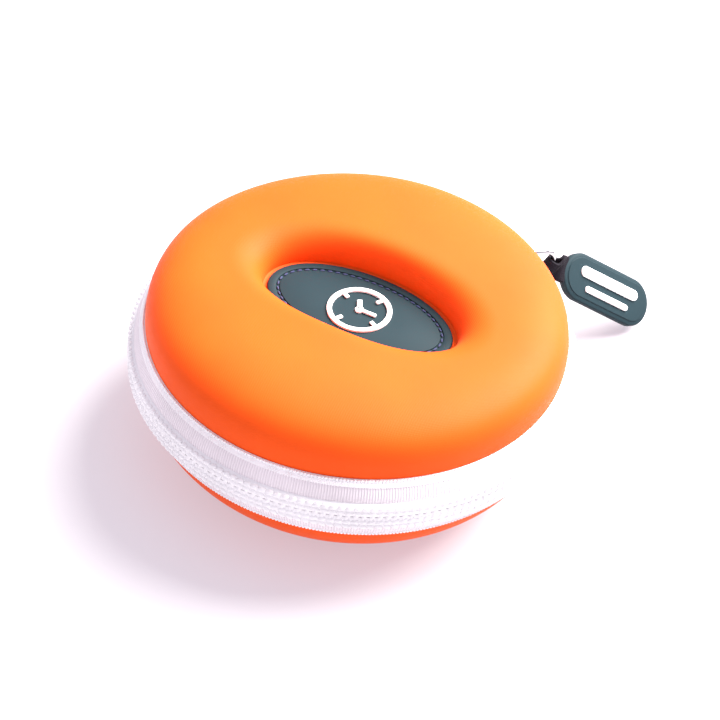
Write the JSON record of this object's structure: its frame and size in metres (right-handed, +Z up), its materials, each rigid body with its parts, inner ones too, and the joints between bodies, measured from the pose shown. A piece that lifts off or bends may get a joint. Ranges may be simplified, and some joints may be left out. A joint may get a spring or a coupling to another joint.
{
  "type": "watch travel case",
  "caption": "Round zip-up travel case for a watch: two foam shells, an oval dimpled lid with a soft badge, a coil zip with a rubber pull tab and an inner strap post.",
  "frame": {"origin": "centre of the flat round underside of the base, the face that the case rests on", "axes": "+Z up through the lid; +X along the long axis of the oval badge; +Y towards the fabric hinge at the back"},
  "size_m": [0.1248, 0.1568, 0.0533],
  "materials": {
    "shell_fabric": "fine matt stretch fabric bonded to moulded foam",
    "lining": "soft knitted lining",
    "binding": "woven edge binding",
    "zip_tape": "ribbed woven zip tape",
    "zip_coil": "nylon coil",
    "seam_thread": "polyester sewing thread",
    "velour": "short velour pile",
    "core_foam": "soft foam",
    "soft_badge": "moulded soft rubber, matt",
    "badge_thread": "navy sewing thread",
    "emblem": "raised white soft rubber",
    "chrome": "polished die-cast metal",
    "strap": "black woven tape"
  },
  "bodies": {
    "base": {"base_shell": "shell_fabric", "base_lining": "lining", "base_binding": "binding", "zip_tape_lower": "zip_tape", "zip_coil_lower": "zip_coil", "zip_stop_lower": "zip_coil", "seam_thread_lower": "seam_thread", "hinge_panel_lower": "shell_fabric", "post_sleeve": "velour", "post_core": "core_foam"},
    "lid": {"lid_shell": "shell_fabric", "lid_lining": "lining", "lid_binding": "binding", "zip_tape_upper": "zip_tape", "zip_coil_upper": "zip_coil", "zip_stop_upper": "zip_coil", "seam_thread_upper": "seam_thread", "hinge_panel_upper": "shell_fabric", "badge": "soft_badge", "badge_thread": "badge_thread", "emblem_dial": "emblem", "emblem_hands": "emblem"},
    "slider": {"slider_body": "chrome", "slider_bail": "chrome"},
    "puller": {"puller_ring": "chrome"},
    "pull_tab": {"pull_strap": "strap", "pull_tab": "soft_badge", "tab_bar_long": "emblem", "tab_bar_short": "emblem"}
  },
  "joints": [
    {"name": "lid_hinge", "type": "hinge", "parent": "base", "child": "lid", "pos_m": [0, 0.0631, 0.0287], "axis": [-1, 0, 0], "range_deg": [0, 90]},
    {"name": "zip_run", "type": "hinge", "parent": "base", "child": "slider", "pos_m": [0, 0, 0.0287], "axis": [0, 0, 1], "range_deg": [-321, 0]},
    {"name": "puller_swing", "type": "hinge", "parent": "slider", "child": "puller", "pos_m": [0.02188, 0.06179, 0.0287], "axis": [0, 0, 1], "range_deg": [-20, 55]},
    {"name": "tab_swing", "type": "hinge", "parent": "puller", "child": "pull_tab", "pos_m": [0.02712, 0.06658, 0.0287], "axis": [0.6743, -0.7385, 0], "range_deg": [-1.5, 35]}
  ]
}
